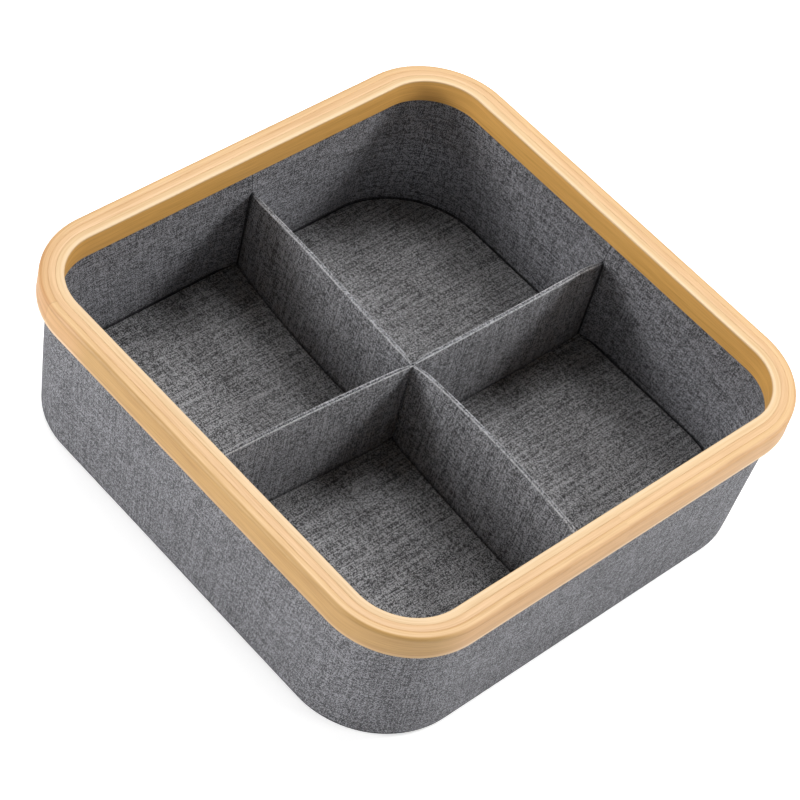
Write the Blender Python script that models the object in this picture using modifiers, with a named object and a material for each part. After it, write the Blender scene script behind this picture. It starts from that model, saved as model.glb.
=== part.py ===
"""A square drawer organiser: a cloth-covered box of boards under a bamboo rim, with a cross of
four sewn-in dividers.

Metres, +Z up. The origin is the middle of the underside, and the sides lie along X and Y.
Front is -Y, back is +Y, left is -X and right is +X.
"""

import math

import bmesh
import bpy

# The whole box
SIDE = 0.320
HEIGHT = 0.100
CLEARANCE = 0.0003

# Bamboo rim: an inner hoop with a rabbet for the wall, and an outer hoop bent round it
RIM_HEIGHT = 0.016
RIM_CORNER = 0.0515
HOLE_CORNER = 0.034
INNER_HOOP_WIDTH = 0.0094
OUTER_HOOP_WIDTH = 0.0050
RABBET_ROOF = 0.005
SHOULDER_ROUND = 0.0022
ARRIS_ROUND = 0.0009

# Cloth and boards of the wall
CLOTH = 0.0006
WALL_BOARD = 0.0022
BASE_DRAW_IN = 0.0015
BASE_CORNER = 0.055
HEM_WIDTH = 0.012
HEM_FOLD = 0.0012
BOTTOM_INSET = 0.0010

# Floor
BASE_BOARD = 0.0045
FLOOR_CORNER = 0.058
FLOOR_EDGE_ROUND = 0.0010

# Seams near the middle of each wall, where a divider is sewn in and draws the lining inwards.
# Each lies a little clockwise of the middle, seen from above.
RIGHT_SEAM_SHIFT = 0.0070
BACK_SEAM_SHIFT = 0.0015
LEFT_SEAM_SHIFT = 0.0100
FRONT_SEAM_SHIFT = 0.0085
SEAM_PULL = 0.0035
PULL_RUN = 0.025
PULL_RISE = 0.003

# Dividers, each a thin board in a sleeve that is pinched flat at both ends
DIVIDER_DROP = 0.014
DIVIDER_BOARD = 0.0012
FOOT_GAP = 0.0010
PINCH_RUN = 0.008
FLANGE_RUN = 0.002
WALL_END_DIP = 0.0045
CENTRE_END_DIP = 0.0008
TOP_SLIT = 0.0005
SLEEVE_ROUND_SHARE = 0.8

# How far each divider bows anticlockwise of a straight line, at its top edge and at its foot
RIGHT_TOP_BOW = 0.0058
RIGHT_FOOT_BOW = -0.0012
BACK_TOP_BOW = 0.0008
BACK_FOOT_BOW = -0.0010
LEFT_TOP_BOW = 0.0013
LEFT_FOOT_BOW = 0.0030
FRONT_TOP_BOW = -0.0019
FRONT_FOOT_BOW = 0.0005

# How finely curves are cut
CORNER_STEPS = 12
EDGE_STEPS = 3
PULL_STEPS = 4
BOW_STEPS = 8

# How far a cutter reaches past what it cuts
OVERRUN = 0.001

# Places that follow from the sizes above
HALF = SIDE / 2
RIM_BOTTOM = HEIGHT - RIM_HEIGHT
RABBET_TOP = HEIGHT - RABBET_ROOF
WALL_TOP = RABBET_TOP - CLEARANCE
COVER_HALF = HALF - OUTER_HOOP_WIDTH - CLEARANCE
HOLE_HALF = COVER_HALF - INNER_HOOP_WIDTH
BOARD_DEPTH = CLOTH + CLEARANCE
LINING_DEPTH = BOARD_DEPTH + WALL_BOARD + CLEARANCE + CLOTH
HEM_BOTTOM = CLOTH + CLEARANCE
WALL_FOOT = HEM_BOTTOM + CLOTH + CLEARANCE
BASE_BOARD_TOP = WALL_FOOT + BASE_BOARD
FLOOR_TOP = BASE_BOARD_TOP + CLEARANCE + CLOTH
DIVIDER_FOOT = FLOOR_TOP + FOOT_GAP
DIVIDER_TOP = RIM_BOTTOM - DIVIDER_DROP
SLEEVE_THICKNESS = DIVIDER_BOARD + 2 * (CLEARANCE + CLOTH)
FLANGE_THICKNESS = 2 * CLOTH
SLEEVE_ROUND = CLOTH * SLEEVE_ROUND_SHARE
SEAM_HALF_GAP = FLANGE_THICKNESS / 2 + CLEARANCE
BOARD_END_GAP = SEAM_HALF_GAP + CLOTH + CLEARANCE

# The walls in anticlockwise order, each with its seam's shift and its divider's two bows
WALLS = (
    ("right", RIGHT_SEAM_SHIFT, RIGHT_TOP_BOW, RIGHT_FOOT_BOW),
    ("back", BACK_SEAM_SHIFT, BACK_TOP_BOW, BACK_FOOT_BOW),
    ("left", LEFT_SEAM_SHIFT, LEFT_TOP_BOW, LEFT_FOOT_BOW),
    ("front", FRONT_SEAM_SHIFT, FRONT_TOP_BOW, FRONT_FOOT_BOW),
)

# The corners in the same order, each with the seam shifts of the walls before and after it
CORNERS = (
    ("back_right", RIGHT_SEAM_SHIFT, BACK_SEAM_SHIFT),
    ("back_left", BACK_SEAM_SHIFT, LEFT_SEAM_SHIFT),
    ("front_left", LEFT_SEAM_SHIFT, FRONT_SEAM_SHIFT),
    ("front_right", FRONT_SEAM_SHIFT, RIGHT_SEAM_SHIFT),
)


def clear_scene():
    for obj in list(bpy.data.objects):
        bpy.data.objects.remove(obj, do_unlink=True)


def new_collection(name):
    collection = bpy.data.collections.new(name)
    bpy.context.scene.collection.children.link(collection)
    return collection


def new_material(name, colour, roughness):
    material = bpy.data.materials.new(name)
    material.use_nodes = True
    shader = material.node_tree.nodes["Principled BSDF"]
    shader.inputs["Base Color"].default_value = (*colour, 1.0)
    shader.inputs["Roughness"].default_value = roughness
    shader.inputs["Metallic"].default_value = 0.0
    return material


def add_object(name, mesh, material, collection):
    obj = bpy.data.objects.new(name, mesh)
    mesh.materials.append(material)
    collection.objects.link(obj)
    return obj


def skin(name, rows, closed_rows, closed_columns, caps):
    """A mesh stretched over rows of points. Caps fill the first and last row or, where the
    columns are open, the first and last column. A closed skin's faces are turned outwards, and
    an open one's face away from the box's middle when its rows run anticlockwise and climb.
    Faces are split along their shorter diagonal, so that a bent sheet keeps its thickness."""
    bm = bmesh.new()
    grid = [[bm.verts.new(point) for point in row] for row in rows]
    row_count = len(grid)
    column_count = len(grid[0])
    for i in range(row_count if closed_rows else row_count - 1):
        here = grid[i]
        there = grid[(i + 1) % row_count]
        for j in range(column_count if closed_columns else column_count - 1):
            k = (j + 1) % column_count
            bm.faces.new((here[j], here[k], there[k], there[j]))
    for end in caps:
        bm.faces.new([row[end] for row in grid] if closed_rows else grid[end])
    if len(caps) == 2 or (closed_rows and closed_columns):
        bmesh.ops.recalc_face_normals(bm, faces=bm.faces)
    bmesh.ops.triangulate(bm, faces=bm.faces, quad_method="SHORT_EDGE")
    mesh = bpy.data.meshes.new(name)
    bm.to_mesh(mesh)
    bm.free()
    mesh.shade_smooth()
    mesh.set_sharp_from_angle(angle=math.radians(30))
    return mesh


def thicken(obj, side):
    """Gives an open surface its cloth thickness: side 1 is along its normals, -1 against them."""
    solidify = obj.modifiers.new("cloth", "SOLIDIFY")
    solidify.thickness = CLOTH
    solidify.offset = side
    solidify.use_even_offset = True
    solidify.use_quality_normals = True


def arc(centre, radius, start, end, steps):
    """Points on an arc, from the angle start to the angle end in degrees."""
    points = []
    for i in range(steps + 1):
        angle = math.radians(start + (end - start) * i / steps)
        points.append((centre[0] + radius * math.cos(angle), centre[1] + radius * math.sin(angle)))
    return points


def squared_loop(half, corner, z):
    """A rounded square at height z."""
    loop = []
    for turn, (across, along) in enumerate(((1, 1), (-1, 1), (-1, -1), (1, -1))):
        centre = (across * (half - corner), along * (half - corner))
        loop += arc(centre, corner, 90 * turn, 90 * turn + 90, CORNER_STEPS)
    return [(x, y, z) for x, y in loop]


def rim_corner_at(half):
    """Corner radius of a surface inside the rim, from the hole's radius to the rim's own."""
    share = (half - HOLE_HALF) / (HALF - HOLE_HALF)
    return HOLE_CORNER + (RIM_CORNER - HOLE_CORNER) * share


def wall_outline(depth, z):
    """Half side and corner radius of the wall's surface that lies depth inside its outer face."""
    rise = min(z / RIM_BOTTOM, 1.0)
    top_half = COVER_HALF - depth
    half = top_half - BASE_DRAW_IN * (1.0 - rise)
    corner = (BASE_CORNER - depth) * (1.0 - rise) + rim_corner_at(top_half) * rise
    return half, corner


def cover_loop(z, inset):
    """The outer cover's face at height z, or a line that lies inset inside it."""
    half, corner = wall_outline(0.0, z)
    return squared_loop(half - inset, corner - inset, z)


def lining_outline(z):
    """The lining's visible face, whose lower corners are drawn rounder than the boards'."""
    rise = min(z / RIM_BOTTOM, 1.0)
    half, corner = wall_outline(LINING_DEPTH, z)
    slack = (FLOOR_CORNER - (BASE_CORNER - LINING_DEPTH)) * (1.0 - rise)
    return half, corner + slack


def hoop(name, profile, material, collection):
    """A bent bamboo hoop: its section, as (half side, z) points, swept round the rim."""
    rows = [squared_loop(half, rim_corner_at(half), z) for half, z in profile]
    mesh = skin(name, rows, closed_rows=True, closed_columns=True, caps=())
    add_object(name, mesh, material, collection)


def make_rim(material, collection):
    lip_half = COVER_HALF - LINING_DEPTH - CLEARANCE
    inner = arc((HOLE_HALF + ARRIS_ROUND, RIM_BOTTOM + ARRIS_ROUND), ARRIS_ROUND, 270, 180, EDGE_STEPS)
    inner += arc((HOLE_HALF + ARRIS_ROUND, HEIGHT - ARRIS_ROUND), ARRIS_ROUND, 180, 90, EDGE_STEPS)
    inner += [(COVER_HALF, HEIGHT), (COVER_HALF, RABBET_TOP)]
    inner += [(lip_half, RABBET_TOP), (lip_half, RIM_BOTTOM)]
    hoop("rim_inner_hoop", inner, material, collection)

    outer_inside = HALF - OUTER_HOOP_WIDTH
    outer = [(outer_inside, RIM_BOTTOM), (outer_inside, HEIGHT)]
    outer += arc((HALF - SHOULDER_ROUND, HEIGHT - SHOULDER_ROUND), SHOULDER_ROUND, 90, 0, EDGE_STEPS + 1)
    outer += arc((HALF - ARRIS_ROUND, RIM_BOTTOM + ARRIS_ROUND), ARRIS_ROUND, 0, -90, EDGE_STEPS)
    hoop("rim_outer_hoop", outer, material, collection)


def make_outer_cover(material, collection):
    """The wall's outer cloth, turned in at the foot into a hem under the boards."""
    rows = [cover_loop(HEM_BOTTOM, HEM_WIDTH)]
    fold_centre = (-HEM_FOLD, HEM_BOTTOM + HEM_FOLD)
    for outward, z in arc(fold_centre, HEM_FOLD, -90, 0, EDGE_STEPS):
        rows.append(cover_loop(z, -outward))
    rows.append(cover_loop(RIM_BOTTOM, 0.0))
    rows.append(cover_loop(WALL_TOP, 0.0))
    mesh = skin("outer_cover", rows, closed_rows=False, closed_columns=True, caps=())
    thicken(add_object("outer_cover", mesh, material, collection), -1)


def make_bottom_cloth(material, collection):
    rows = [cover_loop(0.0, BOTTOM_INSET), cover_loop(CLOTH, BOTTOM_INSET)]
    mesh = skin("bottom_cloth", rows, closed_rows=False, closed_columns=True, caps=(0, -1))
    add_object("bottom_cloth", mesh, material, collection)


def board_path(depth, z, before, after):
    """A path at height z from the seam in the right wall round to the seam in the back wall."""
    half, corner = wall_outline(depth, z)
    path = [(half, BOARD_END_GAP - before)]
    path += arc((half - corner, half - corner), corner, 0, 90, CORNER_STEPS)
    path.append((BOARD_END_GAP + after, half))
    return [(x, y, z) for x, y in path]


def make_wall_boards(material, collection):
    """Four stiff boards, each bent round one corner and butted to the next at the seams."""
    levels = (WALL_FOOT, RIM_BOTTOM, WALL_TOP)
    for turn, (corner_name, before, after) in enumerate(CORNERS):
        rows = [board_path(BOARD_DEPTH, z, before, after) for z in levels]
        for z in reversed(levels):
            rows.append(board_path(BOARD_DEPTH + WALL_BOARD, z, before, after))
        mesh = skin("wall_board", rows, closed_rows=True, closed_columns=False, caps=(0, -1))
        board = add_object("wall_board_" + corner_name, mesh, material, collection)
        board.rotation_euler.z = math.radians(90 * turn)


def lining_path(z, pull, before, after):
    """The lining's visible face at height z, from lip to lip. Each lip turns out into a seam,
    and beside it the cloth is drawn inwards by the divider."""
    half, corner = lining_outline(z)
    lip_end = wall_outline(BOARD_DEPTH, z)[0]
    drawn = []
    for i in range(PULL_STEPS + 1):
        share = i / PULL_STEPS
        fade = 1.0 - share * share * (3.0 - 2.0 * share)
        drawn.append((half - pull * fade, SEAM_HALF_GAP + PULL_RUN * share))
    path = [(lip_end, SEAM_HALF_GAP - before)]
    path += [(x, y - before) for x, y in drawn]
    path += arc((half - corner, half - corner), corner, 0, 90, CORNER_STEPS)
    path += [(y + after, x) for x, y in reversed(drawn)]
    path.append((SEAM_HALF_GAP + after, lip_end))
    return [(x, y, z) for x, y in path]


def make_lining(material, collection):
    """Four lining panels, seamed together where the dividers are sewn in."""
    levels = (
        (WALL_FOOT, 0.0),
        (FLOOR_TOP, 0.0),
        (FLOOR_TOP + PULL_RISE, SEAM_PULL),
        (DIVIDER_TOP, SEAM_PULL),
        (RIM_BOTTOM, 0.0),
        (WALL_TOP, 0.0),
    )
    for turn, (corner_name, before, after) in enumerate(CORNERS):
        rows = [lining_path(z, pull, before, after) for z, pull in levels]
        mesh = skin("lining_panel", rows, closed_rows=False, closed_columns=False, caps=())
        panel = add_object("lining_" + corner_name, mesh, material, collection)
        panel.rotation_euler.z = math.radians(90 * turn)
        thicken(panel, 1)


def make_floor(board_material, cloth_material, collection):
    """The base board, and the floor cloth that wraps over it and down its sides."""
    half, corner = lining_outline(WALL_FOOT)
    cloth_half = half - CLEARANCE
    cloth_corner = corner - CLEARANCE
    board_inset = CLOTH + CLEARANCE
    rows = []
    for z in (WALL_FOOT, BASE_BOARD_TOP):
        rows.append(squared_loop(cloth_half - board_inset, cloth_corner - board_inset, z))
    mesh = skin("base_board", rows, closed_rows=False, closed_columns=True, caps=(0, -1))
    add_object("base_board", mesh, board_material, collection)

    rows = [squared_loop(cloth_half, cloth_corner, WALL_FOOT)]
    round_centre = (-FLOOR_EDGE_ROUND, FLOOR_TOP - FLOOR_EDGE_ROUND)
    for outward, z in arc(round_centre, FLOOR_EDGE_ROUND, 0, 90, EDGE_STEPS):
        rows.append(squared_loop(cloth_half + outward, cloth_corner + outward, z))
    mesh = skin("floor_cloth", rows, closed_rows=False, closed_columns=True, caps=(-1,))
    thicken(add_object("floor_cloth", mesh, cloth_material, collection), -1)


def panel_stations():
    """Distances along a divider from the cross's centre: the ends of its flanges and of its
    full thickness."""
    start = SEAM_HALF_GAP
    wall_flange = lining_outline(FLOOR_TOP)[0] - SEAM_PULL - CLEARANCE
    end = wall_outline(BOARD_DEPTH, DIVIDER_FOOT)[0]
    return (
        start,
        start + FLANGE_RUN,
        start + FLANGE_RUN + PINCH_RUN,
        wall_flange - PINCH_RUN,
        wall_flange,
        end,
    )


def bend(rows, shift, top_bow, foot_bow):
    """Moves a divider's straight rows sideways onto its real line: out to its shifted seam,
    with one bow at the top and another at the foot."""
    stations = panel_stations()
    bent = []
    for row in rows:
        bent_row = []
        for along, sideways, z in row:
            share = (along - stations[1]) / (stations[4] - stations[1])
            share = min(max(share, 0.0), 1.0)
            height_share = (z - DIVIDER_FOOT) / (DIVIDER_TOP - DIVIDER_FOOT)
            bow = foot_bow + (top_bow - foot_bow) * height_share
            middle = bow * math.sin(math.pi * share) - shift * share
            bent_row.append((along, sideways + middle, z))
        bent.append(bent_row)
    return bent


def full_places():
    """Distances along the part of a divider that has its full thickness."""
    start, end = panel_stations()[2:4]
    return [start + (end - start) * i / BOW_STEPS for i in range(BOW_STEPS + 1)]


def slab_rows(places, thickness, bottom, top):
    """Plain sections of a divider's board, or of a cutter for the room round it."""
    half = thickness / 2
    corners = ((half, bottom), (half, top), (-half, top), (-half, bottom))
    return [[(along, sideways, z) for sideways, z in corners] for along in places]


def sleeve_section(along, thickness, top):
    """A tall narrow section across a sleeve, with rounded top and bottom edges."""
    side = thickness / 2 - SLEEVE_ROUND
    low = DIVIDER_FOOT + SLEEVE_ROUND
    high = top - SLEEVE_ROUND
    outline = arc((side, low), SLEEVE_ROUND, -90, 0, EDGE_STEPS)
    outline += arc((side, high), SLEEVE_ROUND, 0, 90, EDGE_STEPS)
    outline += arc((-side, high), SLEEVE_ROUND, 90, 180, EDGE_STEPS)
    outline += arc((-side, low), SLEEVE_ROUND, 180, 270, EDGE_STEPS)
    return [(along, sideways, z) for sideways, z in outline]


def sleeve_rows():
    """The sleeve's outer form: flat sewn flanges at both ends, and full thickness between."""
    stations = panel_stations()
    low_centre = DIVIDER_TOP - CENTRE_END_DIP
    low_wall = DIVIDER_TOP - WALL_END_DIP
    rows = [sleeve_section(along, FLANGE_THICKNESS, low_centre) for along in stations[:2]]
    rows += [sleeve_section(along, SLEEVE_THICKNESS, DIVIDER_TOP) for along in full_places()]
    rows += [sleeve_section(along, FLANGE_THICKNESS, low_wall) for along in stations[4:]]
    return rows


def panel_object(name, rows, wall, turn, material, collection):
    side, shift, top_bow, foot_bow = wall
    bent = bend(rows, shift, top_bow, foot_bow)
    mesh = skin(name, bent, closed_rows=False, closed_columns=True, caps=(0, -1))
    obj = add_object(name + "_" + side, mesh, material, collection)
    obj.rotation_euler.z = math.radians(90 * turn)
    return obj


def make_dividers(board_material, cloth_material, parts, cutters):
    """Four dividers: a board in a sleeve whose two folded edges meet along a slit at the top."""
    places = full_places()
    room_bottom = DIVIDER_FOOT + CLOTH
    room_top = DIVIDER_TOP - CLOTH
    inner_places = [places[0] + CLEARANCE, *places[1:-1], places[-1] - CLEARANCE]
    board = slab_rows(inner_places, DIVIDER_BOARD, room_bottom + CLEARANCE, room_top - CLEARANCE)
    room = slab_rows(places, DIVIDER_BOARD + 2 * CLEARANCE, room_bottom, room_top)
    slit = slab_rows(inner_places, TOP_SLIT, room_top - CLOTH, DIVIDER_TOP + OVERRUN)
    for turn, wall in enumerate(WALLS):
        panel_object("divider_board", board, wall, turn, board_material, parts)
        sleeve = panel_object("divider_sleeve", sleeve_rows(), wall, turn, cloth_material, parts)
        for name, rows in (("room", room), ("slit", slit)):
            cutter = panel_object(name, rows, wall, turn, cloth_material, cutters)
            cutter.hide_render = True
            cutter.display_type = "WIRE"
            cut = sleeve.modifiers.new(name, "BOOLEAN")
            cut.operation = "DIFFERENCE"
            cut.solver = "EXACT"
            cut.object = cutter


def main():
    clear_scene()
    parts = new_collection("drawer_organiser")
    cutters = new_collection("cutters")
    cutters.hide_render = True
    bamboo = new_material("bamboo", (0.80, 0.58, 0.31), 0.45)
    outer_cloth = new_material("outer_cloth", (0.20, 0.20, 0.215), 0.95)
    lining_cloth = new_material("lining_cloth", (0.09, 0.09, 0.098), 0.95)
    board = new_material("board", (0.36, 0.27, 0.18), 0.85)
    make_rim(bamboo, parts)
    make_outer_cover(outer_cloth, parts)
    make_bottom_cloth(outer_cloth, parts)
    make_wall_boards(board, parts)
    make_lining(lining_cloth, parts)
    make_floor(board, lining_cloth, parts)
    make_dividers(board, lining_cloth, parts, cutters)


main()
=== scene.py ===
import math

import bmesh
import bpy
from mathutils import Matrix, Vector, noise


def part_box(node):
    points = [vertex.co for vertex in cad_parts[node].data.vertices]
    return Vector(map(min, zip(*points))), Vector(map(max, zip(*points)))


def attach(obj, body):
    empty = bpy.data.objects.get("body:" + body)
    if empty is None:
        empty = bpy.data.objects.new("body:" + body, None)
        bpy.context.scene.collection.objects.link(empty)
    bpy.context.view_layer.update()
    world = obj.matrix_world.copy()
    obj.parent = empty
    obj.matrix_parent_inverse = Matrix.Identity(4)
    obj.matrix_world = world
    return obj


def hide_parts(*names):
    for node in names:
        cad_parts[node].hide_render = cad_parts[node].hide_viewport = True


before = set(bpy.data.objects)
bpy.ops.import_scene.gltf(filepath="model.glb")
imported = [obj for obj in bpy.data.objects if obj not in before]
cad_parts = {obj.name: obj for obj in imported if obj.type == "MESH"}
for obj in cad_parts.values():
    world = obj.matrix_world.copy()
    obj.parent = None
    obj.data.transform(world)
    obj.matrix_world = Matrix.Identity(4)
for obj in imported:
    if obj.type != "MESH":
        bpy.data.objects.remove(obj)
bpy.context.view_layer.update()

# The studio: a sheet of white paper under wide soft panels of light, and the camera above the
# near corner, rolled a little so that the box lies at a slant across the picture.
CAMERA_PLACE = Vector((0.60767, -0.84905, 1.20572))
CAMERA_AZIMUTH = math.radians(35.655)
CAMERA_ELEVATION = math.radians(48.174)
CAMERA_ROLL = math.radians(16.461)
CAMERA_NEAR = 0.05
LENS_MM = 129.07
PAPER_SIZE = 14.0
PAPER_DROP = 0.0004
PAPER_COLOUR = (0.93, 0.93, 0.93, 1.0)
PAPER_ROUGHNESS = 0.9
PAPER_GLOW = 0.52
SKY_COLOUR = (1.0, 1.0, 1.0, 1.0)
SKY_GLOW = 1.0
SKY_STRENGTH = 0.10
AIM = Vector((0.0, 0.0, 0.05))
PANEL_DISTANCE = 2.0
# Each panel's bearing from +X and height above the floor in degrees, its side and its watts
PANELS = {
    "panel_front_low": (240.0, 22.0, 0.6, 22.5),
    "panel_camera_low": (270.0, 22.0, 0.6, 3.6),
    "panel_right_low": (0.0, 22.0, 0.6, 3.6),
    "panel_back_low": (30.0, 22.0, 0.6, 9.1),
    "panel_back": (60.0, 42.0, 0.4, 18.0),
    "panel_back_high": (120.0, 65.0, 0.6, 15.1),
    "panel_left_high": (180.0, 65.0, 0.6, 6.9),
}


def set_inputs(node, values):
    """Sets a node's inputs, given by their labels."""
    for label, value in values.items():
        node.inputs[label].default_value = value


def new_material(name, roughness):
    """A material, its node tree and its shader."""
    material = bpy.data.materials.new(name)
    material.use_nodes = True
    shader = material.node_tree.nodes["Principled BSDF"]
    shader.inputs["Roughness"].default_value = roughness
    return material, material.node_tree, shader


def aimed(place, target):
    """The turn that points a light's -Z from a place at a target."""
    return (target - place).to_track_quat("-Z", "Y").to_matrix().to_4x4()


scene = bpy.context.scene
scene.view_settings.view_transform = "Standard"

camera_data = bpy.data.cameras.new("camera")
camera_data.lens = LENS_MM
camera_data.clip_start = CAMERA_NEAR
camera = bpy.data.objects.new("camera", camera_data)
scene.collection.objects.link(camera)
back = Vector((
    math.sin(CAMERA_AZIMUTH) * math.cos(CAMERA_ELEVATION),
    -math.cos(CAMERA_AZIMUTH) * math.cos(CAMERA_ELEVATION),
    math.sin(CAMERA_ELEVATION),
))
right = Vector((0.0, 0.0, 1.0)).cross(back).normalized()
up = back.cross(right)
level = Matrix((right, up, back)).transposed()
rolled = level @ Matrix.Rotation(CAMERA_ROLL, 3, "Z")
camera.matrix_world = Matrix.Translation(CAMERA_PLACE) @ rolled.to_4x4()
scene.camera = camera

paper_mesh = bpy.data.meshes.new("paper")
edge = PAPER_SIZE / 2
paper_corners = [(-edge, -edge, 0), (edge, -edge, 0), (edge, edge, 0), (-edge, edge, 0)]
paper_mesh.from_pydata(paper_corners, [], [(0, 1, 2, 3)])
paper = bpy.data.objects.new("paper", paper_mesh)
paper.location.z = -PAPER_DROP
scene.collection.objects.link(paper)
paper_material, paper_tree, paper_shader = new_material("white_paper", PAPER_ROUGHNESS)
set_inputs(paper_shader, {"Base Color": PAPER_COLOUR, "Emission Color": SKY_COLOUR})
paper_mesh.materials.append(paper_material)

for name, (bearing, height, side, power) in PANELS.items():
    panel_data = bpy.data.lights.new(name, "AREA")
    panel_data.size = side
    panel_data.energy = power
    panel = bpy.data.objects.new(name, panel_data)
    turn = math.radians(bearing)
    tilt = math.radians(height)
    direction = Vector((math.cos(turn) * math.cos(tilt), math.sin(turn) * math.cos(tilt), math.sin(tilt)))
    place = PANEL_DISTANCE * direction
    panel.matrix_world = Matrix.Translation(place) @ aimed(place, AIM)
    scene.collection.objects.link(panel)

sky = bpy.data.worlds.new("sky")
sky.use_nodes = True
backdrop = sky.node_tree.nodes["Background"]
backdrop.inputs["Color"].default_value = SKY_COLOUR
scene.world = sky


def brighter_when_seen(tree, strength, lit, seen):
    """A strength that lights the box by one value and shows in the picture with another."""
    light_path = tree.nodes.new("ShaderNodeLightPath")
    glow = tree.nodes.new("ShaderNodeMapRange")
    set_inputs(glow, {"To Min": lit, "To Max": seen})
    tree.links.new(light_path.outputs["Is Camera Ray"], glow.inputs["Value"])
    tree.links.new(glow.outputs["Result"], strength)


# Paper and sky make one white backdrop in the picture, and light the box only a little
brighter_when_seen(sky.node_tree, backdrop.inputs["Strength"], SKY_STRENGTH, SKY_GLOW)
brighter_when_seen(paper_tree, paper_shader.inputs["Emission Strength"], 0.0, PAPER_GLOW)

# The rim: hoops of split bamboo, steamed and bent round the top of the wall. The inner hoop lines
# the hole, a filler strip lies on the wall's top edge, and the outer hoop is glued round both, with
# its two ends scarfed together near the left corner.
rim_low, rim_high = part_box("rim_outer_hoop")
inner_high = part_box("rim_inner_hoop")[1]
RIM_HALF = rim_high.x
RIM_TOP = rim_high.z
RIM_FOOT = rim_low.z
GLUE_HALF = inner_high.x
INNER_HOOP_WIDTH = 0.0094
FILLER_WIDTH = 0.0043
OUTER_HOOP_WIDTH = 0.0050
RABBET_ROOF = 0.0050
OUTER_HOOP_INSIDE = RIM_HALF - OUTER_HOOP_WIDTH
RABBET_TOP = RIM_TOP - RABBET_ROOF
LIP_HALF = GLUE_HALF - FILLER_WIDTH
HOLE_HALF = GLUE_HALF - INNER_HOOP_WIDTH
RIM_CORNER = 0.0515
HOLE_CORNER = 0.034
ARRIS = 0.0009
SHOULDER = 0.0022
GLUE_ARRIS = 0.0001
GLUE_GAP = 0.00003
SIDE_STEPS = 26
BEND_STEPS = 24
ARRIS_STEPS = 4
SHOULDER_STEPS = 8
GLUE_STEPS = 2
SHARP_ANGLE = math.radians(50)
LAY_MAP = "lay"
# Each strip's number, which gives it its own run of grain
INNER_STRIP = 3.0
FILLER_STRIP = 23.0
OUTER_STRIP = 11.0
# Each layer of grain: its changes per metre along and across the strip, its seed and detail, the
# noise at which it starts and at which it is full, and how dark it is
FIBRES = (42.0, 1300.0, 0.0, 3.0, 0.35, 0.75, 0.30)
BANDS = (9.0, 260.0, 7.0, 2.0, 0.30, 0.75, 0.24)
STREAKS = (19.0, 700.0, 19.0, 2.0, 0.55, 0.80, 0.30)
GRAIN_DEPTH = 0.00004
GRAIN_STRENGTH = 0.5
BAMBOO_ROUGHNESS = 0.45
FIBRE_ROUGHNESS = 0.12
COAT_WEIGHT = 0.12
COAT_ROUGHNESS = 0.35
# The pale and dark grain of each strip's top and of its upright face
INNER_TOP = ((0.785, 0.555, 0.312, 1.0), (0.55, 0.325, 0.138, 1.0))
HOLE_FACE = ((0.86, 0.475, 0.128, 1.0), (0.49, 0.228, 0.040, 1.0))
FILLER_TOP = ((0.78, 0.515, 0.28, 1.0), (0.505, 0.265, 0.098, 1.0))
OUTER_TOP = ((0.78, 0.52, 0.265, 1.0), (0.505, 0.27, 0.096, 1.0))
SIDE_FACE = ((0.755, 0.45, 0.205, 1.0), (0.43, 0.205, 0.070, 1.0))
PAINTED_EDGE_HIGHLIGHT = (0.80, 0.585, 0.355, 1.0)
FOOT_PALE = (0.90, 0.68, 0.46, 1.0)
FOOT_SHARE = 0.7
FRONT_FOOT_CHANGE = -0.5
# Painted shade over the outer strip's rounded shoulder
SHOULDER_TINT = (0.93, 0.93, 0.93, 1.0)
FRONT_SHOULDER_TINT = (0.98, 0.98, 0.94, 1.0)
FRONT_TINT = (0.87, 0.88, 0.72, 1.0)
GLUE_STAIN = (0.94, 0.89, 0.83, 1.0)
FAINT_STAIN = (0.95, 0.92, 0.88, 1.0)
GLUE_STAIN_WIDTH = 0.0004
OUTER_STAIN_WIDTH = 0.0010
# Distances across a strip, round its section from where the section starts. Each pair says where
# a tone fades out and where it is full.
HOLE_FACE_END = (0.0160, 0.0152)
# Where the painted highlight on the hole's rounded edge fades in and out
EDGE_START = (0.0160, 0.0167)
EDGE_END = (0.0188, 0.0174)
INNER_GLUE_EDGE = 0.0211
FILLER_GLUE_EDGES = (0.0050, 0.0093)
OUTER_GLUE_EDGE = 0.0163
SIDE_START = (0.0190, 0.0205)
SHOULDER_END = (0.0235, 0.0220)
FOOT_START = (0.0331, 0.0351)
# Distances along the outer strip, from the middle of the right side, and from its scarf
FRONT_START = (0.77, 0.79)
FRONT_END = (1.05, 1.03)
SCARF_ALONG = 0.7548
SCARF_SKEW = 0.1
SCARF_END_START = (-0.055, -0.033)
SCARF_END_STOP = (0.0002, -0.0002)
SCARF_LINE_REACH = (0.0004, 0.0001)
SCARF_TINT = (0.80, 0.62, 0.50, 1.0)
SCARF_TINT_SHARE = 0.3
SCARF_LINE = (0.38, 0.20, 0.08, 1.0)
SCARF_LINE_SHARE = 0.25


def arc(centre, radius, start, end, steps):
    """Points on an arc, from the angle start to the angle end in degrees."""
    angles = [math.radians(start + (end - start) * i / steps) for i in range(steps + 1)]
    return [(centre[0] + radius * math.cos(a), centre[1] + radius * math.sin(a)) for a in angles]


def rounded_square(half, corner, z):
    """A loop round a square with rounded corners, anticlockwise from the middle of its right side."""
    straight = half - corner
    quarter = [(half, straight * i / SIDE_STEPS) for i in range(SIDE_STEPS)]
    quarter += arc((straight, straight), corner, 0, 90, BEND_STEPS)
    quarter += [(straight * (1 - i / SIDE_STEPS), half) for i in range(1, SIDE_STEPS)]
    loop = []
    for turn in range(4):
        spin = Matrix.Rotation(math.radians(90 * turn), 3, "Z")
        loop += [spin @ Vector((x, y, z)) for x, y in quarter]
    return loop


def run_lengths(points):
    """How far along a line of points each one lies."""
    lengths = [0.0]
    for before, after in zip(points, points[1:]):
        lengths.append(lengths[-1] + (after - before).length)
    return lengths


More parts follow.
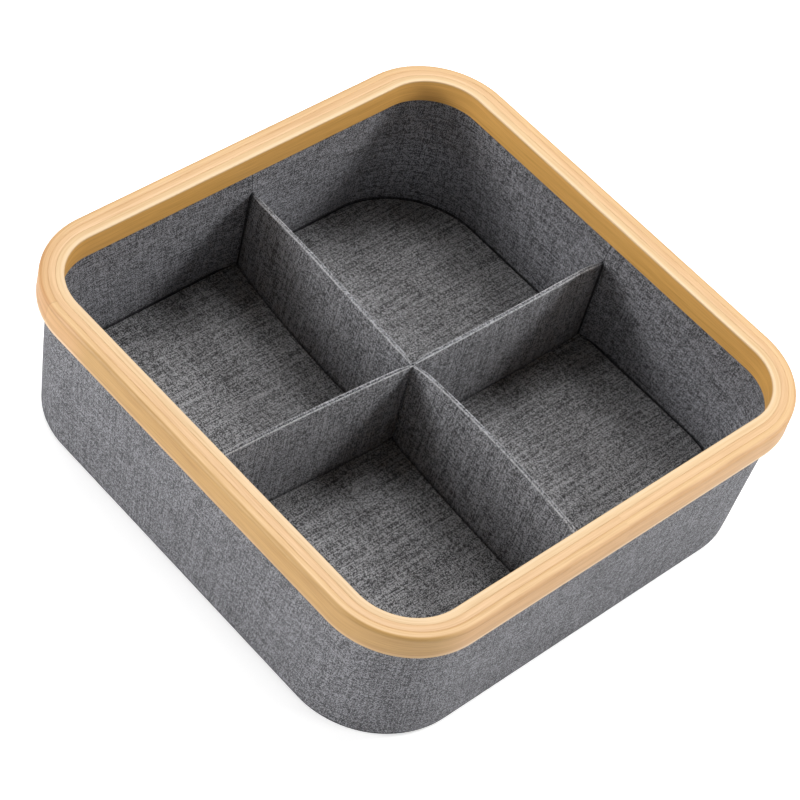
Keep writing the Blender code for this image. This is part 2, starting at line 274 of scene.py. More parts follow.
def mesh_from(name, bm, smooth=True):
    """The mesh of the faces built so far."""
    mesh = bpy.data.meshes.new(name)
    bm.to_mesh(mesh)
    bm.free()
    if smooth:
        mesh.shade_smooth()
    return mesh


def skin(name, rows, closed_along=False, closed_across=False, guide=0, guide_column=0):
    """A mesh over rows of points, with a UV map in metres of how its strip or cloth was cut:
    along the rows, measured on the guide row, and across them, measured on the guide column."""
    guide_row = rows[guide] + rows[guide][:1] if closed_along else rows[guide]
    column = [row[guide_column] for row in rows]
    along = run_lengths(guide_row)
    across = run_lengths(column + column[:1] if closed_across else column)
    bm = bmesh.new()
    lay = bm.loops.layers.uv.new(LAY_MAP)
    grid = [[bm.verts.new(point) for point in row] for row in rows]
    for i in range(len(across) - 1):
        for j in range(len(along) - 1):
            k = (j + 1) % len(grid[0])
            here = grid[i]
            there = grid[(i + 1) % len(grid)]
            face = bm.faces.new((here[j], here[k], there[k], there[j]))
            corners = ((j, i), (j + 1, i), (j + 1, i + 1), (j, i + 1))
            for loop, (u, v) in zip(face.loops, corners):
                loop[lay].uv = (along[u], across[v])
    if closed_along and closed_across:
        bmesh.ops.recalc_face_normals(bm, faces=bm.faces)
    return mesh_from(name, bm)


def add_piece(name, mesh, material, slot, *nodes):
    """Puts a piece on the box in place of its CAD nodes."""
    piece = bpy.data.objects.new(name, mesh)
    mesh.materials.append(material)
    scene.collection.objects.link(piece)
    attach(piece, "root")
    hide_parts(*nodes)
    return piece


def feed(tree, socket, value):
    """Gives a node's input a number or a colour, or links it to another node's output."""
    if isinstance(value, (int, float, tuple)):
        socket.default_value = value
    else:
        tree.links.new(value, socket)


def reckon(tree, operation, *values):
    """A Math node's answer from numbers or sockets."""
    node = tree.nodes.new("ShaderNodeMath")
    node.operation = operation
    for socket, value in zip(node.inputs, values):
        feed(tree, socket, value)
    return node.outputs[0]


def times(tree, first, second):
    """The product of two numbers or sockets."""
    return reckon(tree, "MULTIPLY", first, second)


def parted(tree, vector):
    """The X, Y and Z of a vector."""
    node = tree.nodes.new("ShaderNodeSeparateXYZ")
    tree.links.new(vector, node.inputs[0])
    return node.outputs


def speckle(tree, x, y, z, detail=2.0):
    """Smooth random values between 0 and 1 at a place given by three numbers or sockets."""
    place = tree.nodes.new("ShaderNodeCombineXYZ")
    for socket, value in zip(place.inputs, (x, y, z)):
        feed(tree, socket, value)
    texture = tree.nodes.new("ShaderNodeTexNoise")
    set_inputs(texture, {"Scale": 1.0, "Detail": detail})
    tree.links.new(place.outputs[0], texture.inputs["Vector"])
    return texture.outputs["Fac"]


def spots(tree, x, y, x_changes, y_changes, seed, detail=1.0):
    """Speckle with its own number of changes in each direction."""
    wide = times(tree, x, x_changes)
    tall = times(tree, y, y_changes)
    return speckle(tree, wide, tall, seed, detail)


def graded(tree, value, low, high):
    """0 below low, 1 above high and a smooth rise between them."""
    node = tree.nodes.new("ShaderNodeMapRange")
    node.interpolation_type = "SMOOTHSTEP"
    set_inputs(node, {"From Min": low, "From Max": high})
    tree.links.new(value, node.inputs["Value"])
    return node.outputs["Result"]


def between(tree, value, start, end):
    """A tone that fades in over one pair of places and out over another."""
    return times(tree, graded(tree, value, *start), graded(tree, value, *end))


def blended(tree, share, first, second, way="MIX"):
    """Two colours mixed by a share, each a colour or a socket."""
    node = tree.nodes.new("ShaderNodeMix")
    node.data_type = "RGBA"
    node.blend_type = way
    for socket, value in zip((node.inputs[0], node.inputs[6], node.inputs[7]), (share, first, second)):
        feed(tree, socket, value)
    return node.outputs[2]


def new_group(name, inputs, outputs):
    """An empty shader group with named inputs and outputs, each given as a name and a kind."""
    group = bpy.data.node_groups.new(name, "ShaderNodeTree")
    for label, kind in inputs:
        group.interface.new_socket(label, in_out="INPUT", socket_type="NodeSocket" + kind)
    for label, kind in outputs:
        group.interface.new_socket(label, in_out="OUTPUT", socket_type="NodeSocket" + kind)
    return group, group.nodes.new("NodeGroupInput"), group.nodes.new("NodeGroupOutput")


def lay_of(tree):
    """Where a point lies on its strip or cloth as it was cut."""
    node = tree.nodes.new("ShaderNodeUVMap")
    node.uv_map = LAY_MAP
    return node.outputs["UV"]


def bump(tree, shader, height, depth, strength):
    """Raises the surface by a height from 0 to 1."""
    node = tree.nodes.new("ShaderNodeBump")
    set_inputs(node, {"Distance": depth, "Strength": strength})
    tree.links.new(height, node.inputs["Height"])
    tree.links.new(node.outputs["Normal"], shader.inputs["Normal"])


def grain_group():
    """Bamboo's grain: fine fibres, broad bands and dark streaks along the strip."""
    group, given, out = new_group(
        "bamboo_grain",
        [("Lay", "Vector"), ("Pale", "Color"), ("Dark", "Color"), ("Strip", "Float")],
        [("Color", "Color"), ("Roughness", "Float"), ("Height", "Float")],
    )
    x, y = parted(group, given.outputs["Lay"])[:2]
    shares = []
    darkness = 0.0
    for along, across, seed, detail, start, full, weight in (FIBRES, BANDS, STREAKS):
        strip_seed = reckon(group, "ADD", given.outputs["Strip"], seed)
        layer = spots(group, x, y, along, across, strip_seed, detail)
        shares.append(graded(group, layer, start, full))
        darkness = reckon(group, "MULTIPLY_ADD", shares[-1], weight, darkness)
    fibre_share = shares[0]
    colour = blended(group, darkness, given.outputs["Pale"], given.outputs["Dark"])
    roughness = reckon(group, "MULTIPLY_ADD", fibre_share, FIBRE_ROUGHNESS, BAMBOO_ROUGHNESS)
    group.links.new(colour, out.inputs["Color"])
    group.links.new(roughness, out.inputs["Roughness"])
    group.links.new(reckon(group, "SUBTRACT", 1.0, fibre_share), out.inputs["Height"])
    return group


bamboo_grain = grain_group()


def bamboo_material(name, strip_number, top, face, face_reach, *glued):
    """Clear-finished bamboo with its strip's own run of grain. The strip's upright face has the
    browner colour of the sawn side, over a reach across the strip, and glue darkens each edge
    that meets another strip, given as where the stain starts, where it is full and its tint."""
    material, tree, shader = new_material(name, BAMBOO_ROUGHNESS)
    set_inputs(shader, {"Coat Weight": COAT_WEIGHT, "Coat Roughness": COAT_ROUGHNESS})
    lay = lay_of(tree)
    strip_x, strip_y = parted(tree, lay)[:2]
    on_face = graded(tree, strip_y, *face_reach)
    grain = tree.nodes.new("ShaderNodeGroup")
    grain.node_tree = bamboo_grain
    tree.links.new(blended(tree, on_face, top[0], face[0]), grain.inputs["Pale"])
    tree.links.new(blended(tree, on_face, top[1], face[1]), grain.inputs["Dark"])
    grain.inputs["Strip"].default_value = strip_number
    tree.links.new(lay, grain.inputs["Lay"])
    stained = grain.outputs["Color"]
    for glue_from, glue_to, stain in glued:
        on_glue = graded(tree, strip_y, glue_from, glue_to)
        stained = blended(tree, on_glue, stained, stain, "MULTIPLY")
    tree.links.new(stained, shader.inputs["Base Color"])
    tree.links.new(grain.outputs["Roughness"], shader.inputs["Roughness"])
    bump(tree, shader, grain.outputs["Height"], GRAIN_DEPTH, GRAIN_STRENGTH)
    return material, tree, shader, strip_x, strip_y, stained


def rim_corner_at(half):
    """The corner's radius on a loop inside the rim, from the hole's to the rim's own."""
    share = (half - HOLE_HALF) / (RIM_HALF - HOLE_HALF)
    return HOLE_CORNER + (RIM_CORNER - HOLE_CORNER) * share


def glued_edge(half, way):
    """The small rounding of a strip's top edge beside glue: way 1 is its outer edge, -1 its inner."""
    start = 90 if way > 0 else 180
    return arc((half - way * GLUE_ARRIS, RIM_TOP - GLUE_ARRIS), GLUE_ARRIS, start, start - 90, GLUE_STEPS)


def add_hoop(name, section, material, node):
    """Puts one strip of the rim round the box, with a section given as (half side, height)."""
    rows = [rounded_square(half, rim_corner_at(half), z) for half, z in section]
    mesh = skin(name, rows, closed_along=True, closed_across=True)
    mesh.set_sharp_from_angle(angle=SHARP_ANGLE)
    add_piece(name, mesh, material, "bamboo", node)


def scarfed(tree, strip_x, strip_y, colour):
    """The outer strip's colour with its scarf: a thin line aslant, and a ruddier end before it."""
    past = reckon(tree, "MULTIPLY_ADD", strip_y, SCARF_SKEW, strip_x)
    past = reckon(tree, "SUBTRACT", past, SCARF_ALONG)
    on_line = graded(tree, reckon(tree, "ABSOLUTE", past), *SCARF_LINE_REACH)
    on_end = between(tree, past, SCARF_END_START, SCARF_END_STOP)
    end_share = times(tree, on_end, SCARF_TINT_SHARE)
    line_share = times(tree, on_line, SCARF_LINE_SHARE)
    ruddy = blended(tree, end_share, colour, SCARF_TINT, "MULTIPLY")
    return blended(tree, line_share, ruddy, SCARF_LINE)


def toned(tree, strip_x, strip_y, colour):
    """The outer strip's colour, yellower along the front, with painted shade over its shoulder, and
    paler at its foot."""
    on_front = between(tree, strip_x, FRONT_START, FRONT_END)
    on_side = graded(tree, strip_y, *SIDE_START)
    on_shoulder = times(tree, on_side, graded(tree, strip_y, *SHOULDER_END))
    tints = (
        (times(tree, on_front, on_side), FRONT_TINT),
        (on_shoulder, SHOULDER_TINT),
        (times(tree, on_front, on_shoulder), FRONT_SHOULDER_TINT),
    )
    for share, tint in tints:
        colour = blended(tree, share, colour, tint, "MULTIPLY")
    foot_share = reckon(tree, "MULTIPLY_ADD", on_front, FRONT_FOOT_CHANGE, FOOT_SHARE)
    at_foot = times(tree, graded(tree, strip_y, *FOOT_START), foot_share)
    return blended(tree, at_foot, colour, FOOT_PALE)


inner_bamboo, tree, shader, strip_x, strip_y, stained = bamboo_material(
    "bamboo_inner_hoop", INNER_STRIP, INNER_TOP, HOLE_FACE, HOLE_FACE_END,
    (INNER_GLUE_EDGE - GLUE_STAIN_WIDTH, INNER_GLUE_EDGE, FAINT_STAIN),
)
# Painted highlight along the hole's rounded edge, where it catches the light
on_edge_highlight = between(tree, strip_y, EDGE_START, EDGE_END)
tree.links.new(blended(tree, on_edge_highlight, stained, PAINTED_EDGE_HIGHLIGHT), shader.inputs["Base Color"])
inner_section = arc((HOLE_HALF + ARRIS, RIM_FOOT + ARRIS), ARRIS, 270, 180, ARRIS_STEPS)
inner_section += arc((HOLE_HALF + ARRIS, RIM_TOP - ARRIS), ARRIS, 180, 90, ARRIS_STEPS)
inner_section += glued_edge(LIP_HALF, 1)
inner_section += [(LIP_HALF, RABBET_TOP), (LIP_HALF, RIM_FOOT)]
add_hoop("bamboo_inner_hoop", inner_section, inner_bamboo, "rim_inner_hoop")

# The filler strip shows its top only, so its upright face is given the same colours
filler_bamboo = bamboo_material(
    "bamboo_filler_strip", FILLER_STRIP, FILLER_TOP, FILLER_TOP, SIDE_START,
    (FILLER_GLUE_EDGES[0] + GLUE_STAIN_WIDTH, FILLER_GLUE_EDGES[0], FAINT_STAIN),
    (FILLER_GLUE_EDGES[1] - GLUE_STAIN_WIDTH, FILLER_GLUE_EDGES[1], GLUE_STAIN),
)[0]
filler_inside = LIP_HALF + GLUE_GAP
filler_section = [(filler_inside, RABBET_TOP)]
filler_section += glued_edge(filler_inside, -1)
filler_section += glued_edge(GLUE_HALF, 1)
filler_section.append((GLUE_HALF, RABBET_TOP))
add_hoop("bamboo_filler_strip", filler_section, filler_bamboo, "rim_inner_hoop")

outer_bamboo, tree, shader, strip_x, strip_y, stained = bamboo_material(
    "bamboo_outer_hoop", OUTER_STRIP, OUTER_TOP, SIDE_FACE, SIDE_START,
    (OUTER_GLUE_EDGE + OUTER_STAIN_WIDTH, OUTER_GLUE_EDGE, GLUE_STAIN),
)
joined = scarfed(tree, strip_x, strip_y, stained)
tree.links.new(toned(tree, strip_x, strip_y, joined), shader.inputs["Base Color"])
outer_glued = GLUE_HALF + GLUE_GAP
outer_section = [(OUTER_HOOP_INSIDE, RIM_FOOT), (OUTER_HOOP_INSIDE, RABBET_TOP), (outer_glued, RABBET_TOP)]
outer_section += glued_edge(outer_glued, -1)
outer_section += arc((RIM_HALF - SHOULDER, RIM_TOP - SHOULDER), SHOULDER, 90, 0, SHOULDER_STEPS)
outer_section += arc((RIM_HALF - ARRIS, RIM_FOOT + ARRIS), ARRIS, 0, -90, ARRIS_STEPS)
add_hoop("bamboo_outer_hoop", outer_section, outer_bamboo, "rim_outer_hoop")

# The boards: stiff brown pasteboard, four sheets bent round the corners and a floor sheet. They
# are cut in CAD and keep their shapes here, hidden by the cloth.
BOARD_COLOUR = (0.36, 0.27, 0.18, 1.0)
BOARD_FLECK = (0.24, 0.17, 0.10, 1.0)
BOARD_ROUGHNESS = 0.85
PULP_CHANGES = 900.0
PULP_DETAIL = 3.0
PULP_DEPTH = 0.0001
PULP_STRENGTH = 0.3
FLECK_START = (0.55, 0.75)

pasteboard, tree, shader = new_material("pasteboard", BOARD_ROUGHNESS)
board_place = tree.nodes.new("ShaderNodeTexCoord").outputs["Object"]
pulp_place = [times(tree, part, PULP_CHANGES) for part in parted(tree, board_place)]
pulp = speckle(tree, *pulp_place, PULP_DETAIL)
on_fleck = graded(tree, pulp, *FLECK_START)
tree.links.new(blended(tree, on_fleck, BOARD_COLOUR, BOARD_FLECK), shader.inputs["Base Color"])
bump(tree, shader, pulp, PULP_DEPTH, PULP_STRENGTH)
for name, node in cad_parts.items():
    if "board" in name:
        node.data.materials.clear()
        node.data.materials.append(pasteboard)

# The outer cover: one strip of grey linen-look cloth, woven from yarns of mixed greys, glued
# round the boards. Its top goes up into the rabbet and its foot turns in under the boards.
cover_low, cover_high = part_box("outer_cover")
CLOTH = 0.0006
COVER_HALF = cover_high.x
COVER_TOP = cover_high.z
HEM_LEVEL = cover_low.z
HEM_WIDTH = 0.012
HEM_FOLD = 0.0012
BASE_DRAW_IN = 0.0015
BASE_CORNER = 0.055
COVER_RIPPLE = 0.00025
COVER_RIPPLE_SIZE = 0.045
COVER_LEVELS = 16
FOLD_STEPS = 8
# Painted shade at the cover's foot, where it turns under: how much of it fades over the fold, and how far
# above the fold it ends
FOLD_FADE = 0.4
FOOT_SHADE_RISE = 0.0008
CALM_FOOT_RUN = 0.010
CALM_TOP_RUN = 0.012
NOISE_REACH = 1.6
# Marks on the cloth meshes: painted shade in seams, grooves and folds, and painted highlight on the dividers'
# turned-in top edges, with the tones they paint
PAINTED_SHADE = "painted_shade"
PAINTED_HIGHLIGHT = "painted_highlight"
PAINTED_SHADE_TONE = (0.22, 0.22, 0.23, 1.0)
PAINTED_HIGHLIGHT_TONE = (0.44, 0.44, 0.45, 1.0)
COVER_DARK = (0.070, 0.070, 0.076, 1.0)
COVER_LIGHT = (0.37, 0.37, 0.395, 1.0)
# How strongly a cloth is mottled, and its warp's and its weft's part in that
COVER_WEAVE = (4.4, 0.65, 0.7)
CLOTH_ROUGHNESS = 0.92
CLOTH_SHINE = 0.25
SHEEN_WEIGHT = 0.06
SHEEN_ROUGHNESS = 0.6
WEAVE_DEPTH = 0.00018
WEAVE_STRENGTH = 0.45
THREAD = 0.00068
# Each noise in the weave: its changes per thread across and up the cloth, its seed and, for the
# clouds, its detail
WARP_YARNS = (7.31, 0.27, 3.1)
WEFT_YARNS = (0.27, 7.31, 9.7)
WARP_RIBS = (0.95, 0.022, 21.3)
WEFT_RIBS = (0.022, 0.95, 27.9)
FLECKS = (1.15, 1.15, 1.3)
CLOUDS = (0.05, 0.05, 5.9, 2.0)
LOOSE_FIBRES = (1.1, 1.1, 33.7)
PAINTED_HIGHLIGHT_SPOTS = (0.75, 0.3, 41.3)
RIB_WEIGHT = 0.42
FLECK_WEIGHT = 0.95
CLOUD_WEIGHT = 0.05
MIDDLE_TONE = 0.42
LOOSE_FIBRE_START = (0.62, 0.80)
LOOSE_FIBRE_WEIGHT = 0.45
PAINTED_HIGHLIGHT_START = (0.18, 0.62)
GROUND_HEIGHT = 0.4
# Painted shade in the low places between yarns
GROUND_SHADE = (-0.5, 0.5)


def centred(tree, value):
    """A noise between 0 and 1 as a tone on both sides of 0."""
    return reckon(tree, "SUBTRACT", value, 0.5)


def yarn_tone(tree, on_top, yarn, ribs):
    """A yarn's own tone where it lies on top, and the tone that it shares with its neighbours."""
    own = times(tree, on_top, centred(tree, yarn))
    return reckon(tree, "MULTIPLY_ADD", centred(tree, ribs), RIB_WEIGHT, own)


def yarn_round(tree, place):
    """The height of a yarn's round back: 0 between two yarns and 1 on the middle of one."""
    return reckon(tree, "ABSOLUTE", reckon(tree, "SINE", times(tree, place, math.pi)))


def woven_group():
    """Plain weave from yarns of mixed greys. Each yarn keeps its own tone for a few millimetres,
    threads pass over and under one another, and pale loose fibres lie on top. Painted shade
    darkens the cloth where the mesh marks shade, and painted highlight makes its yarn paler where
    the mesh marks a highlight."""
    group, given, out = new_group(
        "heathered_weave",
        [("Lay", "Vector"), ("Thread", "Float"), ("Dark", "Color"), ("Light", "Color"),
         ("Contrast", "Float"), ("Warp", "Float"), ("Weft", "Float"),
         ("Painted Shade", "Float"), ("Painted Highlight", "Float")],
        [("Color", "Color"), ("Height", "Float")],
    )
    thread = given.outputs["Thread"]
    x, y = [reckon(group, "DIVIDE", part, thread) for part in parted(group, given.outputs["Lay"])[:2]]
    column = reckon(group, "FLOOR", x)
    row = reckon(group, "FLOOR", y)
    under = reckon(group, "FLOORED_MODULO", reckon(group, "ADD", column, row), 2.0)
    over = reckon(group, "SUBTRACT", 1.0, under)
    warp_yarns = spots(group, column, y, *WARP_YARNS)
    weft_yarns = spots(group, x, row, *WEFT_YARNS)
    warp_tone = yarn_tone(group, over, warp_yarns, spots(group, x, y, *WARP_RIBS))
    weft_tone = yarn_tone(group, under, weft_yarns, spots(group, x, y, *WEFT_RIBS))
    tone = times(group, warp_tone, given.outputs["Warp"])
    tone = reckon(group, "MULTIPLY_ADD", weft_tone, given.outputs["Weft"], tone)
    for layer, weight in ((FLECKS, FLECK_WEIGHT), (CLOUDS, CLOUD_WEIGHT)):
        tone = reckon(group, "MULTIPLY_ADD", centred(group, spots(group, x, y, *layer)), weight, tone)
    tone = reckon(group, "MULTIPLY_ADD", tone, given.outputs["Contrast"], MIDDLE_TONE)
    warp_round = yarn_round(group, x)
    weft_round = yarn_round(group, y)
    top_round = reckon(group, "MULTIPLY_ADD", under, weft_round, times(group, over, warp_round))
    ground = reckon(group, "MULTIPLY_ADD", warp_round, weft_round, GROUND_HEIGHT)
    height = times(group, top_round, ground)
    # Painted shade in the gaps between yarns
    tone = times(group, tone, graded(group, height, *GROUND_SHADE))
    loose = graded(group, spots(group, x, y, *LOOSE_FIBRES), *LOOSE_FIBRE_START)
    tone = reckon(group, "MULTIPLY_ADD", loose, LOOSE_FIBRE_WEIGHT, tone)
    yarn = blended(group, tone, given.outputs["Dark"], given.outputs["Light"])
    # Painted shade where the mesh marks it
    shade_painted = blended(group, given.outputs["Painted Shade"], yarn, PAINTED_SHADE_TONE, "MULTIPLY")
    # Painted highlight: patches of paler yarn where the mesh marks a highlight
    highlight_share = graded(group, spots(group, x, y, *PAINTED_HIGHLIGHT_SPOTS), *PAINTED_HIGHLIGHT_START)
    highlight_share = times(group, given.outputs["Painted Highlight"], highlight_share)
    group.links.new(blended(group, highlight_share, shade_painted, PAINTED_HIGHLIGHT_TONE), out.inputs["Color"])
    group.links.new(height, out.inputs["Height"])
    return group


heathered_weave = woven_group()


def cloth_material(name, dark, light, contrast, warp, weft):
    """Matt woven cloth with a little sheen from loose fibres, with painted shade and painted highlight
    where the mesh marks them."""
    material, tree, shader = new_material(name, CLOTH_ROUGHNESS)
    set_inputs(shader, {"Specular IOR Level": CLOTH_SHINE, "Sheen Weight": SHEEN_WEIGHT})
    set_inputs(shader, {"Sheen Roughness": SHEEN_ROUGHNESS})
    weave = tree.nodes.new("ShaderNodeGroup")
    weave.node_tree = heathered_weave
    set_inputs(weave, {"Thread": THREAD, "Dark": dark, "Light": light})
    set_inputs(weave, {"Contrast": contrast, "Warp": warp, "Weft": weft})
    for mark_name, socket in ((PAINTED_SHADE, "Painted Shade"), (PAINTED_HIGHLIGHT, "Painted Highlight")):
        marked = tree.nodes.new("ShaderNodeAttribute")
        marked.attribute_name = mark_name
        tree.links.new(marked.outputs["Fac"], weave.inputs[socket])
    tree.links.new(lay_of(tree), weave.inputs["Lay"])
    tree.links.new(weave.outputs["Color"], shader.inputs["Base Color"])
    bump(tree, shader, weave.outputs["Height"], WEAVE_DEPTH, WEAVE_STRENGTH)
    return material


def mark(mesh, name, rows):
    """Marks where a cloth gets painted shade or painted highlight, with one share from 0 to 1 for each
    point of its rows. Points after the last row given have none."""
    shares = [share for row in rows for share in row]
    shares += [0.0] * (len(mesh.vertices) - len(shares))
    mesh.attributes.new(name, "FLOAT", "POINT").data.foreach_set("value", shares)


def thicken(piece, side, thickness=CLOTH):
    """Gives a cloth's face its thickness: side 1 is along its normals, -1 against them."""
    solidify = piece.modifiers.new("cloth", "SOLIDIFY")
    solidify.thickness = thickness
    solidify.offset = side


def wall_outline(depth, z):
    """Half side and corner radius of the wall's surface that lies depth inside its outer face."""
    rise = min(z / RIM_FOOT, 1.0)
    top_half = COVER_HALF - depth
    half = top_half - BASE_DRAW_IN * (1.0 - rise)
    corner = (BASE_CORNER - depth) * (1.0 - rise) + rim_corner_at(top_half) * rise
    return half, corner


def eased(share):
    """0 to 1 with a soft start and end."""
    share = min(max(share, 0.0), 1.0)
    return share * share * (3.0 - 2.0 * share)


def ripple(point, size):
    """A smooth value between about -1 and 1 that changes over a distance of size."""
    return noise.noise(Vector(point) / size) * NOISE_REACH


def calm_between(z, low, high, top_run=CALM_TOP_RUN):
    """How freely a cloth ripples at height z: 0 at its foot and top, and 1 away from them."""
    return eased((z - low) / CALM_FOOT_RUN) * eased((high - z) / top_run)


def cover_loop(z, inset):
    """A loop round the cover at height z, moved inwards by an inset."""
    half, corner = wall_outline(0.0, z)
    return rounded_square(half - inset, corner - inset, z)


def sideways_of(row, j):
    """The level direction square to a row of points, away from the box's middle."""
    tangent = row[(j + 1) % len(row)] - row[j - 1]
    return Vector((tangent.y, -tangent.x, 0.0)).normalized()


outer_cloth = cloth_material("outer_cloth", COVER_DARK, COVER_LIGHT, *COVER_WEAVE)
fold_top = HEM_LEVEL + HEM_FOLD
cover_rows = [cover_loop(HEM_LEVEL, HEM_WIDTH)]
# Painted shade on the fold, darkest at the hem
foot_shades = [1.0]
for i, (outward, z) in enumerate(arc((-HEM_FOLD, fold_top), HEM_FOLD, -90, 0, FOLD_STEPS)):
    cover_rows.append(cover_loop(z, -outward))
    foot_shades.append(1.0 - FOLD_FADE * eased(i / FOLD_STEPS))
cover_rows.append(cover_loop(fold_top + FOOT_SHADE_RISE, 0.0))
for level in range(1, COVER_LEVELS + 1):
    z = fold_top + (RIM_FOOT - fold_top) * level / COVER_LEVELS
    plain_row = cover_loop(z, 0.0)
    depth = COVER_RIPPLE * calm_between(z, fold_top, RIM_FOOT)
    row = []
    for j, point in enumerate(plain_row):
        row.append(point + sideways_of(plain_row, j) * depth * ripple(point, COVER_RIPPLE_SIZE))
    cover_rows.append(row)
cover_rows.append(cover_loop(COVER_TOP, 0.0))
cover_mesh = skin("cover_cloth", cover_rows, closed_along=True, guide=-1)
mark(cover_mesh, PAINTED_SHADE, [[shade] * len(cover_rows[0]) for shade in foot_shades])
cover = add_piece("cover_cloth", cover_mesh, outer_cloth, "outer_cloth", "outer_cover")
thicken(cover, -1)

# The bottom cloth: a flat piece of the same grey cloth, glued over the cover's hem to close the
# underside. It is what the box stands on.
bottom_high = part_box("bottom_cloth")[1]
BOTTOM_INSET = 0.0010
BOTTOM_RINGS = 14


def close_middle(name, rows):
    """A sheet over rings of points, with its last ring filled, laid square to the sides."""
    bm = bmesh.new()
    lay = bm.loops.layers.uv.new(LAY_MAP)
    grid = [[bm.verts.new(point) for point in row] for row in rows]
    count = len(rows[0])
    for here, there in zip(grid, grid[1:]):
        for j in range(count):
            k = (j + 1) % count
            bm.faces.new((here[j], here[k], there[k], there[j]))
    bm.faces.new(grid[-1])
    bmesh.ops.triangulate(bm, faces=[face for face in bm.faces if len(face.verts) > 4])
    for face in bm.faces:
        for loop in face.loops:
            loop[lay].uv = (loop.vert.co.x, loop.vert.co.y)
    return mesh_from(name, bm)


def shrunk(half, corner, z, share):
    """A rounded square on its way inwards: share 0 is the edge and 1 the middle."""
    return rounded_square(half * (1.0 - share), corner * (1.0 - share), z)


bottom_half, bottom_corner = wall_outline(BOTTOM_INSET, 0.0)
bottom_rows = []
for i in range(BOTTOM_RINGS):
    bottom_rows.append(shrunk(bottom_half, bottom_corner, bottom_high.z, i / BOTTOM_RINGS))
bottom_mesh = close_middle("underside_cloth", bottom_rows)
underside = add_piece("underside_cloth", bottom_mesh, outer_cloth, "outer_cloth", "bottom_cloth")
thicken(underside, -1)

# The lining: four panels of darker cloth, one round each corner. Neighbours are seamed together
# with a divider's end between them, and the divider draws the seam inwards.
lining_low, lining_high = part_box("lining_back_right")
LINING_DEPTH = 0.0040
BOARD_DEPTH = 0.0009
LINING_FOOT = lining_low.z
LINING_TOP = lining_high.z
FLOOR_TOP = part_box("floor_cloth")[1].z
FLOOR_CORNER = 0.058
DIVIDER_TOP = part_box("divider_sleeve_right")[1].z
SEAM_SHIFTS = (0.0070, 0.0015, 0.0100, 0.0085)
SEAM_PULL = 0.0035
SEAM_HALF_GAP = 0.0009
CLOSED_HALF_GAP = 0.00012
SEAM_CLOSING = 0.0024
SEAM_MOUTH = 0.0062
PULL_RUN = 0.025
PULL_STEPS = 12
PULL_CURVE = 1.7
PULL_RISE = 0.0016
WALL_END_DIPS = (0.0045, 0.0028, 0.0045, 0.0045)
LIP_ROUND = 0.0011
CLOSED_LIP_ROUND = 0.0003
# The steps of a panel's height, over the floor's edge, up the wall and at the seams' mouths, and
# the level on which its length is measured
FOOT_STEPS = 4
WALL_STEPS = 20
MOUTH_STEPS = 10
GUIDE_LEVEL = 10
LINING_RIPPLE = 0.00022
LINING_RIPPLE_SIZE = 0.04
LINING_SEED = 3.0
SEAM_CALM_RUN = 0.02
LINING_DARK = (0.046, 0.0465, 0.051, 1.0)
LINING_LIGHT = (0.376, 0.378, 0.408, 1.0)
LINING_WEAVE = (4.1, 0.6, 1.0)
# Painted shade on the lining: deep in each seam's lips, fainter above a divider's end where the seam closes,
# and along its foot at the floor's edge
LIP_SHADES = (1.0, 1.0, 0.95, 0.7, 0.3)
CLOSED_LIP_FADE = 0.6
FLOOR_LINE_SHADES = (1.0, 0.9, 0.15)


def lining_outline(z):
    """The lining's visible face, whose lower corners are drawn rounder than the boards'."""
    rise = min(z / RIM_FOOT, 1.0)
    half, corner = wall_outline(LINING_DEPTH, z)
    return half, corner + (FLOOR_CORNER - (BASE_CORNER - LINING_DEPTH)) * (1.0 - rise)


def end_top_at(turn):
    """How high a divider's sewn end reaches up its seam."""
    return DIVIDER_TOP - WALL_END_DIPS[turn % 4]


def pull_at(z, end_top):
    """How far a divider whose sewn end reaches up to end_top draws the seam inwards at height z."""
    risen = eased((z - FLOOR_TOP) / PULL_RISE)
    fallen = min(max((z - end_top) / (RIM_FOOT - end_top), 0.0), 1.0)
    return SEAM_PULL * risen * (1.0 - fallen)


def closed_at(z, turn):
    """0 where a seam stands open round a divider's end and 1 where it is closed above it."""
    return eased((z - end_top_at(turn)) / SEAM_CLOSING + 0.5)


def seam_side(z, turn):
    """The lining beside a seam, as (depth from the middle of the box, distance from the seam's
    middle): out of the seam, round its lip and back to the wall."""
    half = lining_outline(z)[0]
    lip_end = wall_outline(BOARD_DEPTH, z)[0]
    pull = pull_at(z, end_top_at(turn))
    closed = closed_at(z, turn)
    gap = SEAM_HALF_GAP + (CLOSED_HALF_GAP - SEAM_HALF_GAP) * closed
    lip = LIP_ROUND + (CLOSED_LIP_ROUND - LIP_ROUND) * closed
    side = [(lip_end, gap)]
    side += arc((half - pull + lip, gap + lip), lip, -90, -180, ARRIS_STEPS)
    for i in range(1, PULL_STEPS + 1):
        share = i / PULL_STEPS
        run = lip + (PULL_RUN - lip) * share
        side.append((half - pull * (1.0 - share) ** PULL_CURVE, gap + run))
    return side


def lining_row(z, turn):
    """The lining's visible face at height z, from one wall's seam round to the next wall's. It is
    made as from the seam in the right wall to the one in the back wall."""
    before = SEAM_SHIFTS[turn]
    after = SEAM_SHIFTS[(turn + 1) % 4]
    half, corner = lining_outline(z)
    straight = half - corner
    side = seam_side(z, turn)
    start = side[-1][1] - before
    path = [(x, y - before) for x, y in side]
    path += [(half, start + (straight - start) * i / SIDE_STEPS) for i in range(1, SIDE_STEPS)]
    path += arc((straight, straight), corner, 0, 90, BEND_STEPS)
    side = seam_side(z, turn + 1)
    end = side[-1][1] + after
    path += [(straight + (end - straight) * i / SIDE_STEPS, half) for i in range(1, SIDE_STEPS)]
    path += [(y + after, x) for x, y in reversed(side)]
    return [Vector((x, y, z)) for x, y in path]


